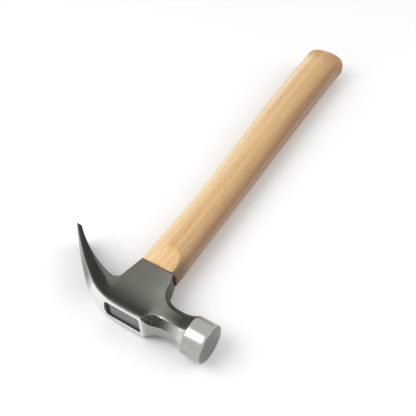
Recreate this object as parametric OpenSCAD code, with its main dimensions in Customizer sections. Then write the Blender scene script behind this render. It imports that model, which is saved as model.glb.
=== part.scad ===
// Claw hammer: forged steel head wedged on a hardwood handle.
// It lies on its side, with +X to the striking face, +Y along the handle to the butt and +Z up.
// The head is worked out from the centre of the eye, at the top of the head, and place() sets the
// whole hammer down so that its origin is the middle of the box it fills, on the ground.

/* [Striking end] */
// Diameter of the bell and its striking face
bell_d = 27.3; // [25:0.1:29]
// Length of the bell
bell_len = 15; // [12:0.5:18]
// Width of the bevel round the striking face
face_bevel = 0.9; // [0.4:0.1:1.6]
// Striking face to the middle of the eye
face_reach = 61; // [56:0.5:66]
// Depth of the bell's axis below the top of the eye
bell_axis_depth = 13.2; // [12.6:0.1:14]
// Width across the flats of the neck at its waist
neck_across = 18.8; // [17:0.1:21]
// Radius of the sweep from the neck into the socket
neck_sweep = 16; // [13:0.5:17]

/* [Eye and socket] */
// Width of the head over the eye
eye_block_w = 25.4; // [24:0.1:27]
// Length of the eye at the top of the head
eye_len = 27; // [25:0.1:28]
// Width of the eye at the top of the head
eye_w = 15.3; // [13.5:0.1:16.5]
// Steel left between the eye and the start of the neck
eye_wall = 2.2; // [1.6:0.1:3]
// How much the eye narrows at its waist
eye_waist = 2; // [1:0.1:3]
// Depth of the head from its top to the end of the socket
socket_depth = 42; // [38:0.5:46]
// Length of the socket's end, along the head
socket_len = 26; // [24:0.1:28]
// Width of the socket's end, across the head
socket_w = 17.8; // [17:0.1:19.5]
// Thickness of the socket's wall at its end
socket_wall = 1.9; // [1.5:0.1:2.4]
// Depth below the top at which the hollow of the cheeks runs out
cheek_depth = 22; // [18:0.5:26]
// Bevel along the top edges of the head
top_bevel = 0.8; // [0.4:0.1:1.2]

/* [Claw] */
// Radius of the bend where the claw leaves the eye
claw_bend_r = 53; // [48:1:58]
// Angle of that bend
claw_bend = 34; // [30:0.5:38]
// Radius of the long flat curve of the claw's blade
blade_r = 238; // [200:2:280]
// Angle of the blade's curve
blade_bend = 12; // [9:0.25:14]
// Thickness of the claw at its tips
tip_thick = 3; // [2.4:0.1:4]
// Thickness of the claw where it meets the throat
root_thick = 12.6; // [11:0.1:13.4]
// Half the width of the claw at its widest
claw_half_w = 12.9; // [12:0.1:13.2]
// Half the width of the claw at its tips
tip_half_w = 12; // [11:0.1:13]
// Rounding of the tips' outer corners
tip_round = 1.5; // [1:0.25:4]
// Crown of the claw's outer face
claw_crown = 3.4; // [2:0.1:4]
// Radius of the throat between the claw and the socket
throat_r = 5; // [4:0.25:6]
// Width of the nail slot between the tips
slot_tip_w = 9; // [8:0.1:10]
// Width of the nail slot at its root
slot_root_w = 1.8; // [1.2:0.1:2.6]
// Length of the nail slot
slot_len = 42; // [36:0.5:44]
// Bevel along the inner edges of the nail slot
slot_bevel = 0.8; // [0.4:0.1:1.2]

/* [Handle] */
// Overall length of the hammer, from the top of the eye to the butt
overall_len = 328; // [300:1:350]
// Depth of the handle at the socket, along the head
handle_head_len = 31; // [29.5:0.1:33]
// Depth of the handle at its waist
handle_waist_len = 30; // [28:0.1:32]
// Depth of the handle at its swell
handle_swell_len = 34.6; // [33:0.1:37]
// Thickness of the handle at the socket
handle_head_w = 23; // [22:0.1:24]
// Thickness of the handle at its waist
handle_waist_w = 21.6; // [20:0.1:23]
// Thickness of the handle at its swell
handle_swell_w = 25; // [23:0.1:26]
// Distance from the socket to the waist
waist_at = 66; // [50:1:80]
// Distance from the butt to the swell
swell_at = 62; // [40:1:90]
// How far the butt leans towards the claw
butt_lean = 4; // [0:0.1:6]
// How far the face side flares out at the butt
butt_flare = 1.2; // [0:0.1:2]
// Length of that flare
butt_flare_len = 20; // [12:1:30]
// Rounding of the butt
butt_round = 5; // [3:0.25:7]
// Length of the flats planed on the handle beside the socket
planed_len = 4; // [3:0.25:8]
// Radius of the cutter that runs the flats out
planed_runout_r = 40; // [30:1:50]

/* [Wedging] */
// Depth of the dark seal's top below the top of the eye
seal_recess = 1.2; // [0.8:0.1:1.6]
// Thickness of the seal
seal_thick = 0.9; // [0.6:0.1:1.4]
// Length of the wooden wedge
wood_wedge_len = 26; // [22:0.5:30]
// Thickness of the wooden wedge at its top
wood_wedge_top = 3.4; // [2.8:0.1:4]
// Thickness of the wooden wedge at its thin end
wood_wedge_tip = 0.8; // [0.5:0.1:1.2]
// Depth of the saw kerf below the thin end of the wooden wedge
kerf_spare = 5; // [3:0.5:8]
// Length of each steel wedge
steel_wedge_len = 16; // [13:0.5:18]
// Width of each steel wedge, across the eye
steel_wedge_w = 10; // [8:0.1:11]
// Thickness of each steel wedge at its top
steel_wedge_top = 2; // [1.6:0.1:2.6]
// Distance between the two steel wedges
steel_wedge_gap = 13; // [11:0.1:15]

/* [Hidden] */

// Colours of the materials
steel = "#8c8c88";
hardwood = "#d8b682";
wedge_wood = "#c9a26c";
wedge_steel = "#6f7174";
seal_dark = "#55565c";

// How far a cutter runs past the face that it cuts, and a joined piece into its neighbour
past = 1;
// Roundness of the bell, and of the cutter that planes the handle
bell_facets = 96;
planer_facets = 180;

// Main places, measured from the centre of the eye at the top of the head
block_half = eye_len / 2 + eye_wall;
socket_half = socket_len / 2;
bell_back = face_reach - bell_len;
bell_r = bell_d / 2;
bell_axis_y = bell_axis_depth;
butt_y = overall_len;
cheek_half_w = socket_w / 2;

// ---------------------------------------------------------------- small helpers
function mix(a, b, t) = a + (b - a) * t;
function clamp01(t) = min(1, max(0, t));
function ease(t) = clamp01(t) * clamp01(t) * (3 - 2 * clamp01(t));
function steps(n) = [for (i = [0:n]) i / n];

// ---------------------------------------------------------------- claw rails
// The outer rail leaves the top of the eye along -X and turns through two arcs.
// Places along it run from 0 at the start of the bend to claw_run at the tips.
bend_start_x = -3.5;
bend_run = claw_bend_r * claw_bend * PI / 180;
blade_run = blade_r * blade_bend * PI / 180;
claw_run = bend_run + blade_run;

function claw_heading(s) =
    s < bend_run ? s / claw_bend_r * 180 / PI : claw_bend + (s - bend_run) / blade_r * 180 / PI;
function claw_inward(s) = [sin(claw_heading(s)), cos(claw_heading(s))];
function bend_point(a) = [bend_start_x - claw_bend_r * sin(a), claw_bend_r * (1 - cos(a))];
function claw_outer(s) =
    s < bend_run ? bend_point(claw_heading(s))
    : bend_point(claw_bend)
        + blade_r * [sin(claw_bend) - sin(claw_heading(s)), cos(claw_bend) - cos(claw_heading(s))];

tip = claw_outer(claw_run);

// Thickness of the blade: it thins from the throat to the tips on a gentle curve,
// of which even_taper is the share that a straight taper would have
even_taper = 0.41;
function blade_thick(s) =
    let (t = (claw_run - s) / blade_run) mix(tip_thick, root_thick, even_taper * t + (1 - even_taper) * t * t);
function claw_inner(s) = claw_outer(s) + blade_thick(s) * claw_inward(s);

// The throat is an arc that runs from the claw's inner face into the socket's wall
throat_lead = 5.5;
throat_s = bend_run - throat_lead;
throat_low = claw_inner(throat_s);
throat_c = [throat_low.x, throat_low.y + throat_r];
function throat_point(a) = throat_c + throat_r * [cos(a), -sin(a)];

// Place along the outer rail that lies over the end of the socket
socket_end_s = claw_bend_r * asin((socket_half + bend_start_x) / claw_bend_r) * PI / 180;
// Place along the outer rail at which the throat's arc ends
throat_end_s = mix(socket_end_s, throat_s, 0.2);

// ---------------------------------------------------------------- sections of the head
// A section lies between a point on the outer rail and a point on the inner rail.
// side_fractions place the points down the hollow of the cheek, and soft_corner is the share of
// a bevel that its middle point keeps off the corner.
side_fractions = [0.14, 0.32, 0.55, 0.78, 0.94];
soft_corner = 0.3;

// How far the cheek is hollowed at a given depth, on a part that is so deep in all
function hollow_run(deep) = min(deep, cheek_depth);
function hollow(d, deep) =
    let (run = hollow_run(deep), drop = (eye_block_w / 2 - cheek_half_w) * run / cheek_depth)
    drop * (1 - pow(1 - min(1, d / run), 2));

function section(outer, inner, half_w, crown) =
    let (
        deep = norm(inner - outer),
        dir = (inner - outer) / deep,
        low = min(top_bevel, deep / 12),
        bevel = min(top_bevel, deep / 5),
        edge = half_w - hollow(deep, deep),
        side = [
            for (f = side_fractions)
                let (d = mix(bevel, hollow_run(deep), f))
                [d, half_w - hollow(d, deep)]
        ],
        profile = concat(
            [
                [-crown, 0],
                [-crown * 3 / 4, half_w / 2],
                [0, half_w - bevel],
                [bevel * soft_corner, half_w - bevel * soft_corner],
                [bevel, half_w - hollow(bevel, deep)]
            ],
            side,
            [
                [deep - low, edge],
                [deep - low * soft_corner, edge - low * soft_corner],
                [deep, edge - low],
                [deep, edge / 2],
                [deep, 0]
            ]
        )
    )
    [for (p = profile) [outer.x + dir.x * p[0], outer.y + dir.y * p[0], p[1]]];

// Half the width of the claw along the outer rail, and its crown, which rises over crown_rise of the
// bend and falls by crown_fall towards the tips
crown_rise = 0.65;
crown_fall = 0.8;
function claw_half(s) =
    s < bend_run ? mix(eye_block_w / 2, claw_half_w, ease(s / bend_run))
    : mix(claw_half_w, tip_half_w, ease((s - bend_run) / blade_run));
function crown_at(s) =
    claw_crown * ease(s / (crown_rise * bend_run)) * (1 - crown_fall * clamp01((s - bend_run) / blade_run));

function claw_section(s) = section(claw_outer(s), claw_inner(s), claw_half(s), crown_at(s));
function throat_section(t) =
    let (s = mix(throat_s, throat_end_s, t))
    section(claw_outer(s), throat_point(90 * (1 - t)), claw_half(s), crown_at(s));

// The socket's wall leans from the throat to the end of the socket
wall_foot = throat_point(0);
function wall_section(t) =
    let (s = mix(throat_end_s, socket_end_s, t))
    section(claw_outer(s), mix(wall_foot, [-socket_half, socket_depth], t), claw_half(s), crown_at(s));

// Over the eye the sections stand square, first under the start of the bend
function block_section(s) = section(claw_outer(s), [claw_outer(s).x, socket_depth], claw_half(s), crown_at(s));
function flat_section(x) = section([x, 0], [x, socket_depth], eye_block_w / 2, 0);

// ---------------------------------------------------------------- neck
// The neck is an octagon that grows out of the eye block's end and flares into the bell.
// Its upper flats are a little wider than its lower ones, and it hangs a little below the bell's axis.
neck_r = neck_across / 2;
neck_facet = 0.54 * neck_r;
neck_low_facet = 0.48 * neck_r;
neck_drop = 0.4;
neck_axis_y = bell_axis_y + neck_drop;
waist_x = block_half + neck_sweep;
low_ridge = 0.72;
sweep_c = [waist_x, neck_axis_y + neck_facet * low_ridge + neck_sweep];
waist_len = 1.5;
flare_start = waist_x + waist_len;

// Shares of the way to the waist at which the ridge, the top flat and the fall of the top are done,
// and how fast the first two start
ridge_done = 0.58;
flat_done = 0.75;
fall_done = 0.92;
ridge_haste = 2.2;
flat_haste = 2.5;

// Sections run from the foot of the socket's front wall, round the sweep, to the waist
function sweep_section(a) =
    let (
        x = sweep_c.x - neck_sweep * cos(a),
        low_y = sweep_c.y - neck_sweep * sin(a),
        run = (x - block_half) / (waist_x - block_half),
        open = 1 - pow(1 - clamp01(run / ridge_done), ridge_haste),
        narrow = 1 - pow(1 - clamp01(run / flat_done), flat_haste),
        top_y = (neck_axis_y - neck_r) * ease(run / fall_done),
        ridge_y = mix(top_bevel, neck_axis_y - neck_facet, open),
        ridge_z = mix(eye_block_w / 2 - hollow(ridge_y, cheek_depth), neck_r, open * run),
        flat_z = mix(eye_block_w / 2 - top_bevel, neck_facet, narrow),
        low_z = mix(cheek_half_w, neck_r, run),
        facet_h = mix(top_bevel, neck_low_facet, sin(a)),
        foot_z = mix(cheek_half_w - top_bevel, neck_facet, sin(a)),
        side = [
            for (f = side_fractions)
                let (y = mix(ridge_y, min(low_y, mix(cheek_depth, low_y, run)), f))
                [y, mix(eye_block_w / 2 - hollow(y, cheek_depth), mix(ridge_z, low_z, f), run)]
        ],
        profile = concat(
            [
                [top_y, 0],
                [top_y, flat_z / 2],
                [top_y, flat_z],
                [(top_y + ridge_y) / 2, (flat_z + ridge_z) / 2],
                [ridge_y, ridge_z]
            ],
            side,
            [
                [low_y, low_z],
                [low_y + facet_h / 2, (low_z + foot_z) / 2],
                [low_y + facet_h, foot_z],
                [low_y + facet_h, foot_z / 2],
                [low_y + facet_h, 0]
            ]
        )
    )
    [for (p = profile) [x, p[0], p[1]]];

// Angles, from the top round to the bottom, at which the section's points sit on the bell
bell_angles = concat(
    [0, 11.25, 22.5, 45, 67.5],
    [for (f = side_fractions) mix(67.5, 112.5, f)],
    [112.5, 135, 157.5, 168.75, 180]
);
waist_section = sweep_section(90);
// The flare steepens towards the bell and ends just inside its back edge
flare_haste = 2.4;
bell_edge = 0.4;
flare_inset = 0.25;
function flare_section(x) =
    let (
        t = pow(clamp01((x - flare_start) / (bell_back - flare_start)), flare_haste),
        r = bell_r - flare_inset
    )
    [
        for (i = [0:len(bell_angles) - 1])
            let (a = bell_angles[i], w = waist_section[i])
            [x, mix(w.y, bell_axis_y - r * cos(a), t), mix(w.z, r * sin(a), t)]
    ];

// ---------------------------------------------------------------- the head as one loft
head_sections = concat(
    [for (t = steps(14)) claw_section(mix(claw_run, throat_s, t))],
    [for (i = [1:5]) throat_section(i / 5)],
    [wall_section(1 / 2), wall_section(1)],
    [for (i = [3:-1:0]) block_section(socket_end_s * i / 4)],
    [flat_section(socket_half)],
    [for (a = [0:10:90]) sweep_section(a)],
    [for (t = steps(8)) flare_section(mix(flare_start, bell_back, t))],
    [flare_section(bell_back + past)]
);

// A ring runs down one cheek and back up the other
function ring(half) = concat(half, [for (i = [len(half) - 2:-1:1]) [half[i].x, half[i].y, -half[i].z]]);

module loft(sections) {
    rings = [for (s = sections) ring(s)];
    n = len(rings[0]);
    last = len(rings) - 1;
    points = [for (r = rings) each r];
    sides = [
        for (k = [0:last - 1], i = [0:n - 1])
            let (a = k * n + i, b = k * n + (i + 1) % n)
            each [[a, b, b + n], [a, b + n, a + n]]
    ];
    first_cap = [for (i = [n - 1:-1:0]) i];
    last_cap = [for (i = [0:n - 1]) last * n + i];
    polyhedron(points, concat(sides, [first_cap, last_cap]), convexity = 8);
}

// ---------------------------------------------------------------- eye
// The eye is flared at both ends, so the wedged tenon can't slip either way.
eye_waist_y = 0.36 * socket_depth;
eye_end_len = socket_len - 2 * socket_wall;
eye_end_w = socket_w - 2 * socket_wall;

function eye_half(y, top, waist, end) =
    y < eye_waist_y ? mix(top, waist, y / eye_waist_y) / 2
    : mix(waist, end, (y - eye_waist_y) / (socket_depth - eye_waist_y)) / 2;

module double_taper(top, waist, end, from_y, to_y) {
    turn = from_y < eye_waist_y && eye_waist_y < to_y ? [eye_waist_y] : [];
    depths = concat([from_y], turn, [to_y]);
    right = [for (y = depths) [eye_half(y, top, waist, end), y]];
    left = [for (i = [len(right) - 1:-1:0]) [-right[i].x, right[i].y]];
    polygon(concat(right, left));
}

// The space of the eye between two depths
module eye_space(from_y, to_y) {
    intersection() {
        linear_extrude(2 * eye_block_w, center = true)
            double_taper(eye_len, eye_len - eye_waist - 1, eye_end_len, from_y, to_y);
        rotate([0, -90, 0])
            linear_extrude(2 * eye_len, center = true)
                double_taper(eye_w, eye_w - eye_waist, eye_end_w, from_y, to_y);
    }
}

// ---------------------------------------------------------------- nail slot
// The slot is a V cut square to the blade, from its root out past the tips.
slot_mid = claw_run - slot_len / 2;
slot_past = 8 * past;

module slot_outline(extra) {
    far = slot_len + slot_past;
    far_half = mix(slot_root_w, slot_tip_w, far / slot_len) / 2 + extra;
    root_half = slot_root_w / 2 + extra;
    polygon([[0, -root_half], [0, root_half], [far, far_half], [far, -far_half]]);
}

// Local axes: along the blade to the tips, across the claw, and out of its outer face
module on_blade(s) {
    a = claw_heading(s);
    o = claw_outer(s);
    multmatrix([
        [-cos(a), 0, -sin(a), o.x],
        [sin(a), 0, -cos(a), o.y],
        [0, 1, 0, 0],
        [0, 0, 0, 1]
    ])
        children();
}

module nail_slot() {
    on_blade(slot_mid)
        translate([-slot_len / 2, 0, -root_thick - slot_past])
            linear_extrude(root_thick + 2 * slot_past) slot_outline(0);
}

// The same V laid on the claw's inner face, where its edges are bevelled to grip a nail
module on_inner_face() {
    from = claw_inner(claw_run - slot_len);
    along = claw_inner(claw_run) - from;
    a = atan2(along.y, -along.x);
    multmatrix([
        [-cos(a), 0, sin(a), from.x],
        [sin(a), 0, cos(a), from.y],
        [0, 1, 0, 0],
        [0, 0, 0, 1]
    ])
        children();
}

module slot_bevels() {
    leaf = 0.01;
    on_inner_face()
        hull() {
            translate([0, 0, -slot_bevel]) linear_extrude(leaf) slot_outline(0);
            translate([0, 0, past]) linear_extrude(leaf) slot_outline(slot_bevel + past);
        }
}

// ---------------------------------------------------------------- head
module bell() {
    translate([bell_back, bell_axis_y, 0])
        rotate([0, 90, 0])
            rotate_extrude($fn = bell_facets)
                polygon([
                    [0, 0],
                    [bell_r - bell_edge, 0],
                    [bell_r, bell_edge],
                    [bell_r, bell_len - face_bevel],
                    [bell_r - face_bevel, bell_len],
                    [0, bell_len]
                ]);
}

// The tips end level across the head, with rounded outer corners
module tip_trim() {
    translate([tip.x - eye_block_w, tip.y, -eye_block_w]) cube(2 * eye_block_w);
    for (side = [0, 1])
        mirror([0, 0, side])
            on_blade(claw_run)
                translate([0, 0, -root_thick])
                    linear_extrude(2 * root_thick)
                        translate([-tip_round, tip_half_w - tip_round])
                            difference() {
                                square(3 * tip_round);
                                circle(tip_round, $fn = bell_facets / 2);
                            }
}

module hammer_head() {
    color(steel)
        place()
            difference() {
                union() {
                    loft(head_sections);
                    bell();
                }
                eye_space(-past, socket_depth + past);
                nail_slot();
                slot_bevels();
                tip_trim();
            }
}

// ---------------------------------------------------------------- handle
// The handle's face side is a straight line that leans a little; the claw side has the waist and swell.
handle_len = butt_y - socket_depth;
waist_y = socket_depth + waist_at;
swell_y = butt_y - swell_at;
handle_set_back = 0.2;
handle_front = handle_head_len / 2 - handle_set_back;
handle_facets = 32;
handle_square = 2.6;
// The edge of the shoulder is eased where the handle meets the socket: distance from it, and inset
shoulder_edge = 0.8;
shoulder_run = 1.5;

function three_way(y, a, b, c) =
    y < waist_y ? mix(a, b, ease((y - socket_depth) / waist_at))
    : mix(b, c, ease((y - waist_y) / (swell_y - waist_y)));
function handle_deep(y) = three_way(y, handle_head_len, handle_waist_len, handle_swell_len);
function handle_wide(y) = three_way(y, handle_head_w, handle_waist_w, handle_swell_w);
function front_x(y) = handle_front - butt_lean * (y - socket_depth) / handle_len;
function flare_at(y) = butt_flare * ease((y - butt_y + butt_round + butt_flare_len) / butt_flare_len);

// A rounded oval whose broad sides are flattened, drawn in by inset
function oval(y, inset) =
    let (
        deep = handle_deep(y) + flare_at(y),
        a = deep / 2 - inset,
        b = handle_wide(y) / 2 - inset,
        cx = front_x(y) + flare_at(y) - deep / 2
    )
    [
        for (i = [0:handle_facets - 1])
            let (t = 360 * i / handle_facets, c = cos(t), s = sin(t), p = 2 / handle_square)
            [cx + a * sign(c) * pow(abs(c), p), y, b * sign(s) * pow(abs(s), p)]
    ];

handle_rings = concat(
    [for (a = [0:30:90]) oval(socket_depth + shoulder_run * (1 - cos(a)), shoulder_edge * (1 - sin(a)))],
    [for (t = steps(24)) oval(mix(socket_depth + planed_len, butt_y - butt_round, t), 0)],
    [for (a = [18:18:90]) oval(butt_y - butt_round * (1 - sin(a)), butt_round * (1 - cos(a)))]
);

module handle_shaft() {
    n = handle_facets;
    last = len(handle_rings) - 1;
    sides = [
        for (k = [0:last - 1], i = [0:n - 1])
            let (a = k * n + i, b = k * n + (i + 1) % n)
            each [[a, b, b + n], [a, b + n, a + n]]
    ];
    caps = [[for (i = [n - 1:-1:0]) i], [for (i = [0:n - 1]) last * n + i]];
    polyhedron([for (r = handle_rings) each r], concat(sides, caps), convexity = 4);
}

// Flats planed on both broad sides, level with the socket, that run out in a curve
module planed_flats() {
    for (side = [-1, 1])
        translate([0, socket_depth + planed_len, side * (cheek_half_w + planed_runout_r)])
            rotate([0, 90, 0])
                cylinder(r = planed_runout_r, h = 2 * handle_head_len, center = true, $fn = planer_facets);
    for (side = [0, 1])
        mirror([0, 0, side])
            translate([-handle_head_len, socket_depth - past, cheek_half_w])
                cube([2 * handle_head_len, planed_len + past, handle_head_w]);
}

tenon_top = seal_recess + seal_thick;

module kerf() {
    translate([-eye_len, tenon_top + wood_wedge_len, -wood_wedge_tip / 2])
        cube([2 * eye_len, kerf_spare, wood_wedge_tip]);
}

// Outline of a wedge, thick at the top of the tenon and thin below
module wedge_outline(top, thin, length) {
    polygon([[-top / 2, 0], [top / 2, 0], [thin / 2, length], [-thin / 2, length]]);
}

module wooden_wedge_space() {
    intersection() {
        translate([0, tenon_top, 0])
            rotate([0, -90, 0])
                linear_extrude(2 * eye_len, center = true)
                    wedge_outline(wood_wedge_top, wood_wedge_tip, wood_wedge_len);
        eye_space(tenon_top, socket_depth);
    }
}

steel_wedge_tip = 0.3;
module steel_wedge_space() {
    for (side = [-1, 1])
        translate([side * steel_wedge_gap / 2, tenon_top, 0])
            linear_extrude(steel_wedge_w, center = true)
                wedge_outline(steel_wedge_top, steel_wedge_tip, steel_wedge_len);
}

module handle() {
    color(hardwood)
        place()
            difference() {
                union() {
                    difference() {
                        handle_shaft();
                        planed_flats();
                    }
                    eye_space(tenon_top, socket_depth + past);
                }
                wooden_wedge_space();
                steel_wedge_space();
                kerf();
            }
}

// ---------------------------------------------------------------- wedges and seal
module wooden_wedge() {
    color(wedge_wood)
        place()
            difference() {
                wooden_wedge_space();
                steel_wedge_space();
            }
}

module steel_wedges() {
    color(wedge_steel) place() steel_wedge_space();
}

module eye_seal() {
    color(seal_dark) place() eye_space(seal_recess, tenon_top);
}

// ---------------------------------------------------------------- placing
// The crown carries the edges of the nail slot a little beyond the tips' outer corners, and stands
// highest where the claw leaves the eye.
slot_edge_crown = crown_at(claw_run) * (1 - slot_tip_w / tip_half_w / 4);
claw_reach_x = tip.x - slot_edge_crown * sin(claw_heading(claw_run));
claw_top_y = min([for (s = head_sections) if (s[0].x < -eye_len / 2) s[0].y]);
top_y = min(0, bell_axis_y - bell_r, claw_top_y);
lie_z = max(bell_r, claw_half_w, eye_block_w / 2, handle_head_w / 2, handle_swell_w / 2);
module place() {
    translate([-(face_reach + claw_reach_x) / 2, -(top_y + butt_y) / 2, lie_z]) children();
}

hammer_head();
handle();
wooden_wedge();
steel_wedges();
eye_seal();
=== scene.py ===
"""Claw hammer with a forged head and a hardwood handle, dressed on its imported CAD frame.

Lengths of the hammer are named in millimetres and measured from the middle of the eye at the top of
the head: x runs to the striking face, d down the handle and z across the head.
"""
import math

import bmesh
import bpy
import numpy as np
from mathutils import Matrix, Vector


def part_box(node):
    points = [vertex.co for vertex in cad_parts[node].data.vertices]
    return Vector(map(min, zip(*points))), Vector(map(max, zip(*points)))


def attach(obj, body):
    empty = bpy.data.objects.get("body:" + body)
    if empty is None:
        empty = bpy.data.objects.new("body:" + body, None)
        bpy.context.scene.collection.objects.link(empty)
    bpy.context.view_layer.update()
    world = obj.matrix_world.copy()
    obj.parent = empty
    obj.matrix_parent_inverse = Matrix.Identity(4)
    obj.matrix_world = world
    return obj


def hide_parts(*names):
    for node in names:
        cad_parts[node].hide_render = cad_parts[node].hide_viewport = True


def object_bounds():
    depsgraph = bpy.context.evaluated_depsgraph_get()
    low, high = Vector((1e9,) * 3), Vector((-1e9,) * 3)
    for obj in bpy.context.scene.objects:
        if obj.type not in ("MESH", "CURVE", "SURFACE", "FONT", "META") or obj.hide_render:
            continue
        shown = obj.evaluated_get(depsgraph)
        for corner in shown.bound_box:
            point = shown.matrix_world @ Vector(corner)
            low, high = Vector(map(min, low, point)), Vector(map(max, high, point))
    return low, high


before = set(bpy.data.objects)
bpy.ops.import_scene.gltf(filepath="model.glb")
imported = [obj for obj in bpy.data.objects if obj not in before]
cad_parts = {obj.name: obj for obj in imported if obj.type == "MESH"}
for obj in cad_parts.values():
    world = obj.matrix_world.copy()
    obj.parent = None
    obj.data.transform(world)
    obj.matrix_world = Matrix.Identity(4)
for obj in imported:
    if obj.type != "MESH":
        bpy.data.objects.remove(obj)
CAD_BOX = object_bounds()
MM = 0.001

# ---------------------------------------------------------------- sizes, as in the CAD model
BELL_R = 13.65
BELL_LEN = 15.0
FACE_BEVEL = 0.9
BELL_BACK_BEVEL = 0.4
FACE_REACH = 61.0
BELL_AXIS_D = 13.2
NECK_R = 9.4
NECK_SWEEP = 16.0
NECK_DROP = 0.4
LOW_RIDGE = 0.72
FLARE_LEAD = 1.5
FLARE_INSET = 0.25
# How early and how fast the neck's ridges, top flat and fall are done between the eye block and the waist
RIDGE_DONE, RIDGE_HASTE = 0.58, 2.2
FLAT_DONE, FLAT_HASTE = 0.75, 2.5
FALL_DONE = 0.92
FLARE_HASTE = 2.4

BLOCK_W = 25.4
EYE_LEN = 27.0
EYE_W = 15.3
EYE_WALL = 2.2
EYE_WAIST = 2.0
SOCKET_DEPTH = 42.0
SOCKET_LEN = 26.0
SOCKET_W = 17.8
SOCKET_WALL = 1.9
CHEEK_DEPTH = 22.0
TOP_BEVEL = 0.8

BEND_START = -3.5
CLAW_BEND_R = 53.0
CLAW_BEND = math.radians(34.0)
BLADE_R = 238.0
BLADE_BEND = math.radians(12.0)
TIP_THICK = 3.0
ROOT_THICK = 12.6
EVEN_TAPER = 0.41
CLAW_HALF_W = 12.9
TIP_HALF_W = 12.0
TIP_ROUND = 1.5
CLAW_CROWN = 3.4
CROWN_RISE = 0.65
CROWN_FALL = 0.8
THROAT_R = 5.0
THROAT_LEAD = 5.5
THROAT_SHARE = 0.2
SLOT_TIP_W = 9.0
SLOT_ROOT_W = 1.8
SLOT_LEN = 42.0
SLOT_PAST = 8
SLOT_BEVEL = 0.8

OVERALL_LEN = 328.0
HANDLE_HEAD = (31.0, 23.0)
HANDLE_WAIST = (30.0, 21.6)
HANDLE_SWELL = (34.6, 25.0)
WAIST_AT = 66.0
SWELL_AT = 62.0
BUTT_LEAN = 4.0
BUTT_FLARE = 1.2
BUTT_FLARE_LEN = 20.0
BUTT_ROUND = 5.0
PLANED_LEN = 4.0
PLANED_RUNOUT_R = 40.0
HANDLE_SQUARE = 2.6
HANDLE_SET_BACK = 0.2

BLOCK_HALF = EYE_LEN / 2 + EYE_WALL
SOCKET_HALF = SOCKET_LEN / 2
CHEEK_HALF_W = SOCKET_W / 2
BELL_BACK = FACE_REACH - BELL_LEN
BEND_RUN = CLAW_BEND_R * CLAW_BEND
BLADE_RUN = BLADE_R * BLADE_BEND
CLAW_RUN = BEND_RUN + BLADE_RUN
THROAT_S = BEND_RUN - THROAT_LEAD
SOCKET_END_S = CLAW_BEND_R * math.asin((SOCKET_HALF + BEND_START) / CLAW_BEND_R)
THROAT_END_S = SOCKET_END_S + (THROAT_S - SOCKET_END_S) * THROAT_SHARE
WAIST_X = BLOCK_HALF + NECK_SWEEP
NECK_FACET = 0.54 * NECK_R
NECK_LOW_FACET = 0.48 * NECK_R
NECK_AXIS_D = BELL_AXIS_D + NECK_DROP
FLARE_START = WAIST_X + FLARE_LEAD

# The middle of the eye at the top of the head, from the boxes of the head and the handle
head_low, head_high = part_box("hammer_head")
handle_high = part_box("handle")[1]
ORIGIN = Vector((head_high.x - FACE_REACH * MM, handle_high.y - OVERALL_LEN * MM, head_low.z + BELL_R * MM))


def place(points):
    """Points in the head's millimetres, (x, d, z), put in the frame's metres."""
    return np.asarray(points, float) * MM + np.array(ORIGIN)


# ---------------------------------------------------------------- small helpers
def mix(a, b, t):
    return a + (b - a) * t


def clamp01(t):
    return min(1.0, max(0.0, t))


def ease(t):
    t = clamp01(t)
    return t * t * (3 - 2 * t)


def fade(value, low, high):
    return ease((value - low) / (high - low))


def spread(n):
    return [i / n for i in range(n + 1)]


def level(stops, at):
    """The value at a place between named stops."""
    return np.interp(at, *zip(*stops))


def srgb(hex_colour):
    """The three levels of a written colour, from 0 to 1."""
    return [int(hex_colour[i:i + 2], 16) / 255 for i in (1, 3, 5)]


def to_linear(value):
    """An sRGB level from 0 to 1 as the linear one that shaders take."""
    return value / 12.92 if value <= 0.04045 else ((value + 0.055) / 1.055) ** 2.4


# ---------------------------------------------------------------- claw rails
def heading(s):
    return s / CLAW_BEND_R if s < BEND_RUN else CLAW_BEND + (s - BEND_RUN) / BLADE_R


def bend_point(a):
    return np.array([BEND_START - CLAW_BEND_R * math.sin(a), CLAW_BEND_R * (1 - math.cos(a))])


def claw_outer(s):
    h = heading(s)
    if s < BEND_RUN:
        return bend_point(h)
    turn = [math.sin(CLAW_BEND) - math.sin(h), math.cos(CLAW_BEND) - math.cos(h)]
    return bend_point(CLAW_BEND) + BLADE_R * np.array(turn)


def blade_thick(s):
    t = (CLAW_RUN - s) / BLADE_RUN
    return TIP_THICK + (ROOT_THICK - TIP_THICK) * (EVEN_TAPER * t + (1 - EVEN_TAPER) * t * t)


def claw_inner(s):
    h = heading(s)
    return claw_outer(s) + blade_thick(s) * np.array([math.sin(h), math.cos(h)])


THROAT_C = claw_inner(THROAT_S) + np.array([0, THROAT_R])


def throat_point(degrees):
    a = math.radians(degrees)
    return THROAT_C + THROAT_R * np.array([math.cos(a), -math.sin(a)])


def claw_half(s):
    if s < BEND_RUN:
        return mix(BLOCK_W / 2, CLAW_HALF_W, ease(s / BEND_RUN))
    return mix(CLAW_HALF_W, TIP_HALF_W, ease((s - BEND_RUN) / BLADE_RUN))


def crown_at(s):
    fall = CROWN_FALL * clamp01((s - BEND_RUN) / BLADE_RUN)
    return CLAW_CROWN * ease(s / (CROWN_RISE * BEND_RUN)) * (1 - fall)


# ---------------------------------------------------------------- sections of the head
# How many faces each stretch of a half section has, from the middle of the top round to the middle below
STRETCH = {"top": 10, "edge": 4, "side": 18, "low_edge": 4, "low": 6}
STRETCH_NAMES = [name for name, count in STRETCH.items() for _ in range(count)]


def hollow(d, deep):
    run = min(deep, CHEEK_DEPTH)
    drop = (BLOCK_W / 2 - CHEEK_HALF_W) * run / CHEEK_DEPTH
    return drop * (1 - (1 - min(1.0, d / run)) ** 2)


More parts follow.
